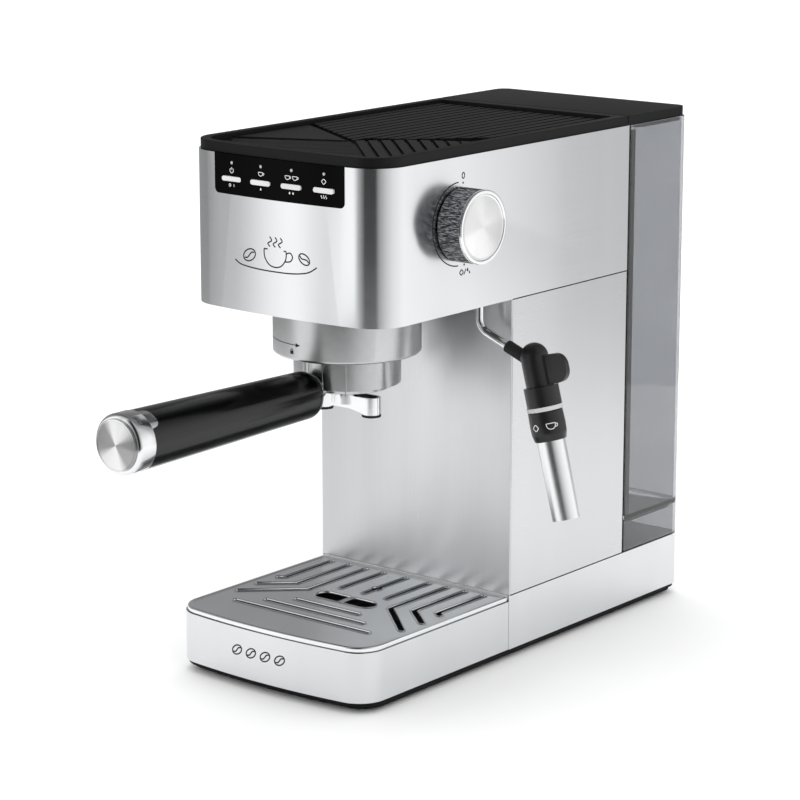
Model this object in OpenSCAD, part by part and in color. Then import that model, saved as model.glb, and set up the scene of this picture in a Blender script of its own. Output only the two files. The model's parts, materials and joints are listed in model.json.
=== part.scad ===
// Slim pump espresso machine: steel housing, bayonet portafilter, steam wand, rear water tank.
// Millimetres. +Z up, front towards -Y, right-hand side towards +X.
// Origin: centre of the base footprint, on the plane that the feet stand on.

/* [Body] */
// Width of the housing
body_w = 141; // [138:1:150]
// Depth of the base, from the drip tray's front to the back of the water tank
base_d = 313.5; // [310:0.5:325]
// Height to the top of the lid
body_h = 305; // [300:1:320]
// Radius of the bowed front faces, seen from above
bow_r = 460; // [300:10:900]
// Thickness of the steel skins
skin = 1.2; // [0.8:0.1:1.5]
// Height of the base, up to the seam under the column
base_h = 39; // [38:0.5:42]
// Height of the head's steel band
head_h = 86.5; // [84:0.5:90]
// Height of the plastic lid above the steel
lid_h = 5.5; // [5:0.5:7]
// How far the head's front stands ahead of the column
head_reach = 120; // [118:1:124]
// How far the tray's front stands ahead of the column
tray_reach = 135; // [133:1:140]
// Depth of the water tank's bay
tank_d = 64; // [60:1:70]

/* [Corners] */
// Front corner radius of the head
head_r = 21; // [18:1:24]
// Front corner radius of the tray
tray_r = 17; // [15:1:20]
// Rear corner radius of the base and tank
rear_r = 8; // [6:1:10]

/* [Group and portafilter] */
// Distance from the column to the group's axis
group_reach = 60.25; // [58:0.25:62]
// Outer radius of the group collar
collar_r = 42; // [41:0.5:44]
// Outer radius of the portafilter bowl
bowl_r = 30.5; // [30:0.5:31]
// Height of the grip's axis
grip_z = 165.3; // [164:0.1:166]
// Distance from the group's axis to the end of the handle
handle_reach = 187.2; // [170:0.1:190]
// Radius of the grip at its end
grip_r = 16.3; // [15:0.1:17]

/* [Controls] */
// Radius of the steam knob
knob_r = 20.5; // [18:0.5:21]
// How far the knob stands out of the side
knob_out = 17.5; // [15:0.5:18]
// Distance between button centres
button_pitch = 22; // [20:0.5:23]
// Button travel
button_travel = 1; // [0.8:0.1:1.2]
// Width of a button
button_w = 14; // [13:0.5:16]
// Height of a button
button_h = 2.8; // [2.6:0.1:4]

/* [Steam wand] */
// Distance of the steam pipe's axis from the centre plane
pipe_x = 56.5; // [54:0.5:58]
// Outer radius of the steam pipe
pipe_r = 2.3; // [2:0.1:2.5]
// Slope of the pipe below level
pipe_slope = 22; // [18:1:26]
// Outward tilt of the wand from vertical
wand_tilt = 14.6; // [10:0.2:18]
// Outer radius of the frothing sleeve
sleeve_r = 8; // [7:0.1:8.2]

/* [Hidden] */
$fn = 96;

e = 0.01;                          // overshoot of a cut
side = body_w / 2;                 // half width
front_y = -base_d / 2;             // front of the tray
back_y = base_d / 2;               // back of the tank
col_y = front_y + tray_reach;      // front of the column
head_y = col_y - head_reach;       // front of the head
bay_y = back_y - tank_d;           // front of the tank bay
head_top = body_h - lid_h;         // top of the steel
head_z = head_top - head_h;        // underside of the head
pan_z = 2;                         // underside of the base pan
pan_top = 6.2;                     // seam between the pan and the steel
tray_top = 35.5;                   // seam under the drip plate
plate_top = base_h - 0.5;
gap = 0.3;                         // gap between pieces that move apart
tank_floor = 58.5;                 // underside of the tank's floor
group_y = col_y - group_reach;     // axis of the group
knob_y = -71;                      // axis of the steam valve
knob_z = head_top - 37;
pipe_y = col_y - 11.25;            // axis of the pipe's upper end
bend_r = 9;                        // bend of the steam pipe, at its centre line
bend_z = head_z - 10;              // where the bend starts
bend_a = 90 - pipe_slope;
elbow_x = 96;                      // where the pipe's axis meets the wand's axis
bend_end_x = pipe_x + bend_r * (1 - cos(bend_a));
bend_end_z = bend_z - bend_r * sin(bend_a);
elbow_z = bend_end_z - (elbow_x - bend_end_x) * tan(pipe_slope);
pipe_run = (elbow_x - bend_end_x) / cos(pipe_slope);
button_z = head_top - 13.7;
light_z = head_top - 4.8;
board_y = head_y + 12.25;          // front of the control board
stem_end = head_y + 8.6;           // back of the buttons' stems
button_xs = [for (i = [0:3]) (i - 1.5) * button_pitch];
ledge_gap = 45;                    // turn from locked to unlocked, degrees
handle_y = group_y - handle_reach; // outer end of the handle
tank_y0 = bay_y + 1.55;            // front face of the tank
seat = [0, bay_y + 32.25];         // tank valve's axis
cord_x = -45;                      // mains cord inlet
cord_z = 23;

// ---------- shared outlines ----------

// Distance that the bowed face falls back at a given x.
function sag(x) = bow_r - sqrt(bow_r * bow_r - x * x);

// Plan outline: bowed front with tangent round corners, straight sides, round back corners.
module plan(yf, yb, rf, rb = 0, inset = 0) {
    w = side - inset;
    big = bow_r - inset;
    rc = rf - inset;
    cy = yf + bow_r;
    xc = w - rc;
    yc = cy - sqrt((big - rc) * (big - rc) - xc * xc);
    corner = [xc, yc];
    tangent = [0, cy] + (corner - [0, cy]) * big / (big - rc);
    tip = corner + 3 * (tangent - corner);
    intersection() {
        translate([0, cy]) circle(big, $fn = 720);
        polygon([[-xc, yc + 1], [xc, yc + 1], corner, tip, [-tip[0], tip[1]], [-xc, yc]]);
    }
    for (s = [-1, 1]) translate([s * xc, yc]) circle(rc);
    translate([-w, yc]) square([2 * w, yb - rb - yc]);
    if (rb > 0) {
        translate([-w + rb, yb - rb - 1]) square([2 * (w - rb), rb + 1]);
        for (s = [-1, 1]) translate([s * (w - rb), yb - rb]) circle(rb);
    }
}

// Rectangle with four round corners, centred.
module rounded(w, h, r) {
    square([w - 2 * r, h], center = true);
    square([w, h - 2 * r], center = true);
    for (x = [-1, 1], y = [-1, 1]) translate([x * (w / 2 - r), y * (h / 2 - r)]) circle(r);
}

// Slab of an outline between two heights.
module slab(z0, z1) translate([0, 0, z0]) linear_extrude(z1 - z0) children();

// Box given by its two corners.
module block(a, b) translate(a) cube(b - a);

// Cylinder along X, from x0 to x1.
module rod_x(x0, x1, r, y = 0, z = 0) translate([x0, y, z]) rotate([0, 90, 0]) cylinder(r = r, h = x1 - x0);

// Cylinder along Y, from y0 to y1.
module rod_y(y0, y1, r, x = 0, z = 0) translate([x, y0, z]) rotate([-90, 0, 0]) cylinder(r = r, h = y1 - y0);

// Ring about the group's axis.
module ring(r_in, r_out, z0, z1) translate([0, group_y, z0]) difference() {
    cylinder(r = r_out, h = z1 - z0);
    translate([0, 0, -e]) cylinder(r = r_in, h = z1 - z0 + 2 * e);
}

// Pie slice, for the bayonet's ears and gaps.
module slice(r, half_angle, at) rotate(at)
    polygon([[0, 0], [2 * r * cos(half_angle), -2 * r * sin(half_angle)],
        [2 * r * cos(half_angle), 2 * r * sin(half_angle)]]);

// Outline on the head's front face, extruded back by depth from y.
module on_front(x, z, y, depth) translate([x, y + depth, z]) rotate([90, 0, 0])
    linear_extrude(depth) children();

// Local frame of the wand: its axis runs down -Z from the elbow.
module on_wand() translate([elbow_x, pipe_y, elbow_z]) rotate([0, -wand_tilt, 0]) children();

// ---------- base ----------

foot_at = [for (x = [-1, 1], y = [-1, 1]) [x * (side - 20), y * (back_y - 26)]];

module base_pan() color("#1c1c1e") difference() {
    union() {
        slab(pan_z, 4.2) plan(front_y + 2.5, back_y - 2.5, tray_r, rear_r, 2.5);
        slab(4.2, pan_top) plan(front_y + 0.8, back_y - 0.8, tray_r, rear_r, 0.8);
        slab(pan_top, 14) difference() {
            translate([0, (col_y + back_y) / 2]) rounded(body_w - 2.6, back_y - col_y - 6, 5);
            translate([0, (col_y + back_y) / 2]) rounded(body_w - 6.6, back_y - col_y - 10, 4);
        }
    }
    for (p = foot_at) translate([p[0], p[1], pan_z - e]) cylinder(r = 8.05, h = 1 + e);
}

module rubber_feet() color("#151515")
    for (p = foot_at) translate([p[0], p[1], 0]) cylinder(r = 8, h = pan_z + 1);

module base_shell() color("#c9cacc") difference() {
    slab(pan_top + 0.05, base_h) intersection() {
        plan(front_y, back_y, tray_r, rear_r);
        translate([-body_w, col_y]) square([2 * body_w, base_d]);
    }
    slab(pan_top - 1, base_h + 1) intersection() {
        plan(front_y, back_y - skin, tray_r, rear_r - skin, skin);
        translate([-body_w, col_y - 1]) square([2 * body_w, base_d]);
    }
    rod_y(back_y - 3, back_y + 1, 6.05, cord_x, cord_z);
}

module base_deck() color("#1f1f21") difference() {
    union() {
        slab(base_h - 3, base_h) intersection() {
            plan(front_y, back_y - skin - 0.05, tray_r, rear_r - skin, skin + 0.05);
            translate([-body_w, col_y]) square([2 * body_w, base_d]);
        }
        block([-side + 6, col_y, pan_top + 0.05], [side - 6, col_y + 2, base_h - 3]);
        translate([seat[0], seat[1], 24]) cylinder(r = 4.5, h = 13);
        translate([seat[0], seat[1], base_h - 1]) cylinder(r = 11, h = 12.5);
    }
    translate([seat[0], seat[1], 20]) cylinder(r = 3, h = 40);
    translate([-20, 45, base_h - 4]) cylinder(r = 14, h = 6);
}

module cord_gland() color("#161616") difference() {
    union() {
        rod_y(back_y - 9, back_y, 6, cord_x, cord_z);
        rod_y(back_y - skin - 2, back_y - skin - 0.05, 8.5, cord_x, cord_z);
    }
    rod_y(back_y - 10, back_y + 1, 3.6, cord_x, cord_z);
}

// ---------- drip tray ----------

tray_back = col_y - gap;

module tray_shell() color("#c9cacc") slab(pan_top + 0.3, tray_top) difference() {
    plan(front_y, tray_back, tray_r);
    plan(front_y, tray_back + 5, tray_r, 0, skin);
}

module tray_bin() color("#26272a") difference() {
    slab(pan_top + 0.3, tray_top - 0.3) plan(front_y, tray_back, tray_r, 0, skin + 0.05);
    slab(9, tray_top + 1) plan(front_y, tray_back - 2, tray_r, 0, skin + 2);
}

slot_r = 1.5;                      // half the width of a drip slot

// One slot of the drip plate: straight runs between the given points, with round ends and corners.
module slot(points) {
    for (i = [1:len(points) - 1]) {
        run = points[i] - points[i - 1];
        translate(points[i - 1]) rotate(atan2(run[1], run[0]))
            translate([0, -slot_r]) square([norm(run), 2 * slot_r]);
    }
    for (p = points) translate(p) circle(slot_r - 0.02, $fn = 24);
}

module drip_plate() color("#d3d4d6") difference() {
    union() {
        slab(plate_top - 1.5, plate_top) plan(front_y, tray_back - 0.7, tray_r, 0, 1);
        slab(tray_top + 0.3, plate_top - 1) difference() {
            plan(front_y, tray_back - 0.7, tray_r, 0, 1);
            plan(front_y, tray_back - 2.2, tray_r, 0, 2.5);
        }
        slab(tray_top - 3, plate_top - 1) difference() {
            plan(front_y, tray_back - 3, tray_r, 0, 3.6);
            plan(front_y, tray_back - 4.4, tray_r, 0, 5);
        }
    }
    slab(plate_top - 3, plate_top + 1) {
        slot([[0, -29], [0, -67.5]]);
        translate([0, -56]) circle(3);
        for (s = [-1, 1]) {
            slot([[s * 17, -29], [s * 17, -67.5]]);
            slot([[s * 30.5, -29], [s * 30.5, -81], [s * 61, -109]]);
            slot([[s * 43.5, -29], [s * 43.5, -76], [s * 61.5, -91.5]]);
            slot([[s * 57, -29], [s * 57, -71], [s * 60.5, -74]]);
        }
        for (i = [0:2]) slot([[-23 - 13 * i, -101 - 11.5 * i], [23 + 13 * i, -101 - 11.5 * i]]);
        difference() {
            union() {
                for (s = [-1, 1]) translate([s * 15, -84]) circle(6);
                translate([-15, -90]) square([30, 12]);
            }
            translate([-1.5, -92]) square([3, 16]);
        }
    }
}

// ---------- column ----------

pump_at = [-20, 45];

module column_frame() color("#2b2c2f") difference() {
    block([-side + skin + 0.1, col_y + skin + 0.05, base_h], [side - skin - 0.1, bay_y - 2.65, head_z]);
    difference() {
        block([-side + 4, col_y + 4, base_h - 1], [side - 4, bay_y - 5, head_z + 1]);
        for (z = [62, 172]) block([-side, pump_at[1] - 24, z], [6, pump_at[1] + 24, z + 3]);
    }
    translate([pump_at[0], pump_at[1], base_h]) cylinder(r = 9, h = head_z);
}

module column_front_panel() color("#d5d7da")
    block([-side, col_y, base_h + 0.05], [side, col_y + skin, head_z - 0.05]);

module side_panel(s) block([s > 0 ? side - skin : -side, col_y + skin + 0.05, base_h + 0.05],
    [s > 0 ? side : -side + skin, bay_y, head_z - 0.05]);

module column_side_left() color("#c4c6c9") side_panel(-1);

module column_side_right() color("#c4c6c9") side_panel(1);

module rear_wall() color("#19191b") {
    block([-side + skin + 0.1, bay_y - 2.6, base_h], [side - skin - 0.1, bay_y + 0.1, head_top - 0.1]);
    block([-side + 0.3, bay_y + 0.05, base_h], [side - 0.3, tank_y0 - gap, head_top - 0.1]);
}

// ---------- head ----------

panel_w = 93;
panel_drop = 22.3;                 // how far the control panel reaches below the steel's top edge
panel_y = head_y - 1;

module panel_outline(extra = 0) {
    translate([0, extra / 2 + 2]) rounded(panel_w + 2 * extra, panel_drop + 4 + extra, 3);
}

module head_shell() color("#cbccce") difference() {
    slab(head_z, head_top) difference() {
        plan(head_y, bay_y, head_r);
        plan(head_y, bay_y + 5, head_r, 0, skin);
    }
    on_front(0, head_top - panel_drop / 2 - 0.05, panel_y, 20) panel_outline(0.1);
    rod_x(side - 3, side + 1, 7, knob_y, knob_z);
}

module head_floor() color("#333437") difference() {
    slab(head_z + 0.2, head_z + 2.2) plan(head_y, col_y - 0.1, head_r, 0, skin + 0.05);
    translate([0, group_y, head_z - 1]) cylinder(r = 38.3, h = 6);
    translate([pipe_x, pipe_y, head_z - 1]) cylinder(r = 6.1, h = 6);
}

recess_depth = 3.2;                // cup warmer below the rim
recess_back = 85;

module top_cover() color("#202124") difference() {
    union() {
        slab(head_top + 0.05, body_h) plan(head_y, bay_y - 0.3, head_r, 0, 1);
        slab(head_top - 3, head_top + 1) difference() {
            plan(head_y, bay_y - 4, head_r, 0, skin + 0.4);
            plan(head_y, bay_y - 6, head_r, 0, skin + 2.2);
        }
    }
    slab(body_h - recess_depth, body_h + 1) plan(head_y, recess_back, head_r, 3, 6.6);
    block([-panel_w / 2 - 1, head_y, head_top - 4], [panel_w / 2 + 1, head_y + 6, head_top + 0.05]);
}

module control_panel() color("#08080a") difference() {
    union() {
        intersection() {
            slab(head_z, head_top) difference() {
                plan(head_y, bay_y, head_r);
                plan(head_y, bay_y + 5, head_r, 0, 2.6);
            }
            on_front(0, head_top - panel_drop / 2 - 0.05, panel_y, 20) panel_outline();
        }
        for (x = [-44, 44], z = [280.5, 293]) rod_y(head_y + 3.4, board_y, 2, x, z);
    }
    for (x = button_xs) {
        on_front(x, button_z, panel_y, 12) rounded(button_w + 0.3, button_h + 0.3, button_h / 2);
        rod_y(panel_y, board_y, 1, x, light_z);
    }
}

// A button: a bar that stands just proud of the panel, with a stem to its switch.
module button(i) {
    x = button_xs[i];
    y = head_y + sag(x) - 0.7;
    on_front(x, button_z, y, 5) rounded(button_w, button_h, button_h / 2 - 0.1);
    on_front(x, button_z, y + 5 - e, stem_end - y - 5) rounded(3, 2.4, 0.5);
}

module button_power() color("#e8e9ea") button(0);
module button_one_cup() color("#e8e9ea") button(1);
module button_two_cups() color("#e8e9ea") button(2);
module button_steam() color("#e8e9ea") button(3);

module indicator_lights() color("#f4f5f7")
    for (x = button_xs) rod_y(head_y + sag(x) - 0.1, board_y, 0.9, x, light_z);

// Board with one push switch soldered behind each button.
module control_board() color("#1f5c3a") {
    block([-46, board_y, head_top - 22], [46, board_y + 1.6, head_top - 3.2]);
    for (x = button_xs) {
        block([x - 3, board_y - 2, button_z - 3], [x + 3, board_y + 0.1, button_z + 3]);
        rod_y(stem_end + button_travel + 0.1, board_y - 1.9, 1.6, x, button_z);
    }
}

// ---------- steam control ----------

knob_face = side + knob_out;

module steam_knob() color("#3b3d41") difference() {
    rod_x(side + 0.8, knob_face - 2, knob_r, knob_y, knob_z);
    rod_x(side, side + 3, knob_r - 3, knob_y, knob_z);
    rod_x(side, knob_face - 7, 3.02, knob_y, knob_z);
    block([side, knob_y - 0.6, knob_z + knob_r - 0.6], [knob_face, knob_y + 0.6, knob_z + knob_r + 1]);
}

module knob_ring() color("#dfe1e4") difference() {
    rod_x(knob_face - 2, knob_face, knob_r, knob_y, knob_z);
    rod_x(knob_face - 3, knob_face + 1, knob_r - 2.2, knob_y, knob_z);
}

module knob_disc() color("#d0d2d5")
    rod_x(knob_face - 2, knob_face - 0.4, knob_r - 2.3, knob_y, knob_z);

module valve_spindle() color("#c8a24a") rod_x(50.3, knob_face - 7.1, 3, knob_y, knob_z);

module steam_valve() color("#b8923c") difference() {
    union() {
        block([40, knob_y - 9, knob_z - 9.5], [58, knob_y + 9, knob_z + 9.5]);
        rod_x(58 - e, 66, 8, knob_y, knob_z);
        block([46, knob_y - 3, head_z + 2.2], [52, knob_y + 3, knob_z - 9]);
    }
    rod_x(50, 67, 3.05, knob_y, knob_z);
    rod_x(39, 51, 1.5, knob_y, knob_z);
}

module valve_needle() color("#8f9296") rod_x(41, 49.4, 1.4, knob_y, knob_z);

// ---------- boiler ----------

boiler_z = head_z + 5;             // top of the group head
seam_z = boiler_z + 22;
bolt_at = [for (a = [45:90:315]) [38 * cos(a), group_y + 38 * sin(a)]];

module boiler_flange(z0, z1) slab(z0, z1) difference() {
    union() {
        translate([0, group_y]) circle(38);
        for (p = bolt_at) translate(p) circle(5.5);
    }
    for (p = bolt_at) translate(p) circle(2.1);
}

module boiler_lower() color("#a9abad") difference() {
    union() {
        translate([0, group_y, boiler_z]) cylinder(r = 34, h = 22);
        boiler_flange(seam_z - 4, seam_z);
        for (s = [-1, 1]) rod_y(group_y + 30, group_y + 44, 3, s * 14, boiler_z + 8);
    }
    translate([0, group_y, boiler_z + 4]) cylinder(r = 29, h = 30);
    translate([12, group_y, boiler_z - 1]) cylinder(r = 1.5, h = 8);
}

module boiler_upper() color("#a9abad") difference() {
    union() {
        translate([0, group_y, seam_z + 1.5]) cylinder(r = 34, h = 22);
        boiler_flange(seam_z + 1.5, seam_z + 5.5);
    }
    translate([0, group_y, seam_z]) cylinder(r = 29, h = 19);
    translate([20, group_y, seam_z]) cylinder(r = 2, h = 30);
}

module boiler_seal() color("#b5462f") ring(29.5, 33.5, seam_z, seam_z + 1.5);

module boiler_bolts() color("#8c8e91") for (p = bolt_at) translate([p[0], p[1], seam_z - 7]) {
    cylinder(r = 2, h = 13);
    translate([0, 0, 12.5]) cylinder(r = 3.5, h = 3.5);
    cylinder(r = 3.5, h = 3);
}

module thermostats() color("#d9d6cc") for (x = [-15, 4]) translate([x, group_y, seam_z + 23.5]) {
    cylinder(r = 8, h = 6);
    for (s = [-1, 1]) block([-3, s * 4.5 - 0.4, 5.9], [3, s * 4.5 + 0.4, 12]);
}

// ---------- group ----------

ear_z = 191.9;                     // underside of the bayonet ears
rim_z = ear_z + 4.5;               // top of the bowl's rim
collar_z = 184.8;
collar_bore = 38.6;
collar_lip = 1.6;                  // rounding of the collar's lower edge

module group_collar() color("#bfc1c3") translate([0, group_y, 0]) rotate_extrude() {
    translate([collar_bore, collar_z + collar_lip])
        square([collar_r - collar_bore, head_z - collar_z - collar_lip]);
    translate([collar_bore, collar_z]) square([collar_r - collar_lip - collar_bore, 2 * collar_lip]);
    translate([collar_r - collar_lip, collar_z + collar_lip]) circle(collar_lip, $fn = 32);
}

module group_head() color("#9b9da0") difference() {
    union() {
        ring(3.05, 38.2, 186.5, head_z + 2.2);
        ring(3.05, 44, head_z + 2.2, boiler_z);
    }
    translate([0, group_y, 180]) cylinder(r = 33.4, h = rim_z + 9 - 180);
    translate([0, group_y, ear_z - 0.3]) cylinder(r = 36.9, h = 6.1);
    translate([0, group_y, 180]) intersection() {
        cylinder(r = 36.9, h = ear_z - 180);
        linear_extrude(40) for (a = [-ledge_gap, 180 - ledge_gap]) slice(40, 20, a);
    }
    translate([12, group_y, 180]) cylinder(r = 1.5, h = 50);
}

module group_gasket() color("#5a2b22") ring(27.2, 33.3, rim_z + 0.9, rim_z + 8.9);

module shower_screen() color("#cfd1d3") difference() {
    union() {
        ring(24.8, 26.6, rim_z + 3, rim_z + 8.9);
        ring(3.3, 26.6, rim_z + 3, rim_z + 3.8);
    }
    for (r = [8:4:22]) for (a = [0:360 / (r * 1.5):359])
        translate([r * cos(a), group_y + r * sin(a), rim_z + 2]) cylinder(r = 0.7, h = 3, $fn = 6);
}

module shower_screw() color("#a4a6a8") {
    translate([0, group_y, rim_z + 2.2]) cylinder(r = 4.4, h = 0.8);
    translate([0, group_y, rim_z + 2.9]) cylinder(r = 3, h = 17);
}

// ---------- portafilter ----------

bowl_z = 167.2;
neck_z = 168;

module portafilter_body() color("#b9bbbd") difference() {
    union() {
        translate([0, group_y, bowl_z]) cylinder(r = bowl_r, h = rim_z - bowl_z);
        translate([0, group_y, ear_z]) intersection() {
            cylinder(r = 36.5, h = rim_z - ear_z);
            linear_extrude(10) for (a = [0, 180]) slice(40, 17, a);
        }
        translate([0, group_y, bowl_z - 3]) cylinder(r = 24, h = 3.5);
        rod_y(grip_root + 0.3, group_y - 26, 7, 0, neck_z);
    }
    translate([0, group_y, bowl_z + 2.5]) cylinder(r = 28.6, h = 40);
    translate([0, group_y, bowl_z - 4]) cylinder(r = 4, h = 10);
    rod_y(grip_root - 1, group_y - 29.5, 3.5, 0, neck_z);
}

module filter_basket() color("#d7d9db") difference() {
    union() {
        ring(20, 28.3, 173, rim_z + 0.8);
        translate([0, group_y, 173]) cylinder(r = 28.3, h = 0.8);
        ring(28, 30.3, rim_z + 0.02, rim_z + 0.8);
    }
    translate([0, group_y, 173.8]) cylinder(r = 27.5, h = 40);
    for (r = [5:5:25]) for (a = [0:360 / (r * 1.2):359])
        translate([r * cos(a), group_y + r * sin(a), 172]) cylinder(r = 0.5, h = 3, $fn = 6);
}

spout_x = 17.5;                    // distance of each spout from the centre
spout_r = 5.4;
spout_z = 148.6;                   // lower end of the spouts
trough_top = 160;

// Two spouts joined by an open trough under a central boss.
module coffee_spout() color("#d4d6d8") difference() {
    union() {
        translate([0, group_y, 155]) cylinder(r = 9, h = bowl_z - 3 - 155);
        translate([0, group_y + spout_r, 0]) rotate([90, 0, 0]) linear_extrude(2 * spout_r)
            polygon([[-spout_x, 150.6], [-6, 152.6], [6, 152.6], [spout_x, 150.6],
                [spout_x, trough_top], [-spout_x, trough_top]]);
        for (s = [-1, 1]) translate([s * spout_x, group_y, spout_z]) cylinder(r = spout_r, h = trough_top - spout_z);
    }
    block([-spout_x, group_y - 4, 154], [spout_x, group_y + 4, trough_top + 1]);
    for (s = [-1, 1]) translate([s * spout_x, group_y, spout_z - 1]) cylinder(r = 4, h = 20);
    translate([0, group_y, trough_top]) cylinder(r = 4, h = 12);
}

grip_root = group_y - bowl_r - 1.2;
ring_y = handle_y + 13.6;          // joint between the grip and the end ring

module handle_stud() color("#9fa1a3") rod_y(grip_root - 30, group_y - 29.6, 3.45, 0, neck_z);

module handle_grip() color("#0c0c0e") difference() {
    translate([0, ring_y, grip_z]) rotate([-90, 0, 0]) rotate_extrude() {
        root = grip_root - ring_y;
        polygon([[0, 0], [grip_r, 0], [13.6, root - 8], [0, root - 8]]);
        intersection() {
            translate([5.6, root - 8]) circle(8);
            square([20, root]);
        }
        square([5.8, root]);
    }
    rod_y(grip_root - 31, grip_root + 1, 3.5, 0, neck_z);
    rod_y(ring_y - 1, ring_y + 5, 10.1, 0, grip_z);
}

module handle_ring() color("#e1e3e5") difference() {
    union() {
        rod_y(handle_y + 1.2, ring_y - 0.05, grip_r + 0.3, 0, grip_z);
        rod_y(ring_y - 0.1, ring_y + 4.9, 10, 0, grip_z);
    }
    rod_y(handle_y, handle_y + 3.4, 14.4, 0, grip_z);
}

module handle_disc() color("#cfd1d4") rod_y(handle_y, handle_y + 3.35, 14.2, 0, grip_z);

// ---------- steam wand ----------

module pipe_straight(r, from, len) translate([bend_end_x, pipe_y, bend_end_z])
    rotate([0, 90 + pipe_slope, 0]) translate([0, 0, from]) cylinder(r = r, h = len);

module steam_pipe() color("#dcdee0") {
    translate([pipe_x, pipe_y, bend_z - 0.05]) cylinder(r = pipe_r, h = 225.5 - bend_z);
    translate([pipe_x + bend_r, pipe_y, bend_z]) rotate([90, 0, 0]) rotate([0, 0, 180])
        rotate_extrude(angle = bend_a) translate([bend_r, 0]) circle(pipe_r);
    pipe_straight(pipe_r, -0.05, pipe_run);
}

module pipe_gland() color("#b8923c") difference() {
    union() {
        translate([pipe_x, pipe_y, head_z - 1]) cylinder(r = 7.5, h = 1.2);
        translate([pipe_x, pipe_y, head_z]) cylinder(r = 6, h = 16);
    }
    translate([pipe_x, pipe_y, head_z - 2]) cylinder(r = pipe_r + 0.06, h = 15);
    translate([pipe_x, pipe_y, head_z]) cylinder(r = 1.2, h = 20);
}

module pipe_sleeve() color("#19191a") difference() {
    pipe_straight(3.6, 15, pipe_run - 15 - 7);
    pipe_straight(pipe_r + 0.01, 10, pipe_run);
}

dome_z = 4.6;                      // centre of the grip's domed top above the pipe's axis
tab_x = 14.2;                      // centre of the thumb tab's round end

module frother_grip() color("#1b1b1d") difference() {
    on_wand() {
        translate([0, 0, dome_z]) sphere(7.9);
        translate([0, 0, -13]) cylinder(r = 7.9, h = 13 + dome_z);
        translate([0.4, 0, -23.5]) cylinder(r = 9.9, h = 11.2);
        rotate([90, 0, 0]) translate([0, 0, -1.75]) linear_extrude(3.5) {
            translate([0, -11.7]) square([tab_x, 16.4]);
            for (z = [-4.7, -2.3]) translate([tab_x, z]) circle(7, $fn = 48);
            translate([tab_x, -4.7]) square([7, 2.4]);
        }
    }
    pipe_straight(pipe_r + 0.02, 10, pipe_run - 9);
    pipe_straight(3.65, 10, pipe_run - 16.5);
    on_wand() translate([0, 0, -24]) cylinder(r = 3.05, h = 11);
}

module frother_ring() color("#d9dadb") on_wand() translate([0.2, 0, -26]) difference() {
    cylinder(r = 10.2, h = 2.5);
    translate([-0.2, 0, -1]) cylinder(r = 3.05, h = 4);
}

module frother_selector() color("#1b1b1d") on_wand() rotate_extrude() difference() {
    polygon([[3.3, -26.3], [9.8, -26.3], [10.1, -34], [9.9, -39], [8.9, -43], [3.3, -43]]);
    translate([0, -44]) square([sleeve_r + 0.3, 8]);
}

module frother_sleeve() color("#d2d4d6") on_wand() rotate_extrude() {
    translate([sleeve_r - 0.7, -88.1]) square([0.7, 51.6]);
}

module frother_nozzle() color("#9a9c9e") on_wand() difference() {
    translate([0, 0, -80]) cylinder(r = 3, h = 66);
    translate([0, 0, -81]) cylinder(r = 1, h = 60);
}

// ---------- water tank ----------

tank_top = head_top;
tank_wall = 2.2;

// The tank's outline: nearly square at the front, round at the back.
module tank_outline(inset = 0) {
    w = side - inset;
    y0 = tank_y0 + inset;
    y1 = back_y - inset;
    r = rear_r - inset;
    translate([-w, y0]) square([2 * w, y1 - r - y0]);
    translate([-w + r, y1 - r - 1]) square([2 * (w - r), r + 1]);
    for (s = [-1, 1]) translate([s * (w - r), y1 - r]) circle(r);
}

module water_tank() color("#6f7276", 0.6) difference() {
    slab(base_h + 0.3, tank_top) tank_outline();
    slab(tank_floor + 2.5, tank_top + 1) tank_outline(tank_wall);
    slab(base_h, tank_floor) tank_outline(tank_wall);
    translate([seat[0], seat[1], 50]) cylinder(r = 8.1, h = 20);
}

module tank_foot() color("#101011") slab(tank_floor - 3, tank_floor - 0.05) difference() {
    translate([0, (tank_y0 + back_y) / 2]) rounded(132, 52, 5);
    translate(seat) circle(13);
}

module tank_valve() color("#2f3033") translate([seat[0], seat[1], 0]) difference() {
    union() {
        translate([0, 0, 52]) cylinder(r = 8, h = 12);
        translate([0, 0, tank_floor + 2.55]) cylinder(r = 11, h = 2);
    }
    translate([0, 0, 50]) cylinder(r = 2.5, h = 16);
}

lid_pivot_r = 0.95;                // the lid's front edge is round about its pivot
lid_pivot_y = bay_y + gap + lid_pivot_r;
lid_pivot_z = body_h - lid_pivot_r;

module tank_lid() color("#202124") {
    slab(tank_top + 0.05, body_h) intersection() {
        tank_outline(1);
        translate([-side, bay_y]) square([body_w, tank_d]);
    }
    block([-side + 1, bay_y + gap, tank_top + 0.25], [side - 1, tank_y0 + 1.1, lid_pivot_z]);
    block([-side + 1, lid_pivot_y, lid_pivot_z - e], [side - 1, tank_y0 + 1.1, body_h]);
    rod_x(-side + 1, side - 1, lid_pivot_r, lid_pivot_y, lid_pivot_z);
    slab(tank_top - 3, tank_top + 0.1) difference() {
        translate([0, bay_y + 37]) rounded(134, 46, 5);
        translate([0, bay_y + 37]) rounded(131, 43, 4);
    }
}

// ---------- pump ----------

module pump() color("#4a4d52") translate([pump_at[0], pump_at[1], 0]) {
    translate([0, 0, 56]) cylinder(r = 7, h = 130);
    translate([-19, -19, 78]) cube([38, 38, 60]);
    for (z = [59, 169]) translate([0, 0, z]) {
        cylinder(r = 12, h = 2.9);
        cylinder(r = 8.9, h = 9);
        translate([0, 0, 6.1]) cylinder(r = 12, h = 2.9);
    }
}

// Hose along a list of points.
module hose(points, r) for (i = [0:len(points) - 2]) hull() {
    translate(points[i]) sphere(r, $fn = 8);
    translate(points[i + 1]) sphere(r, $fn = 8);
}

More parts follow.
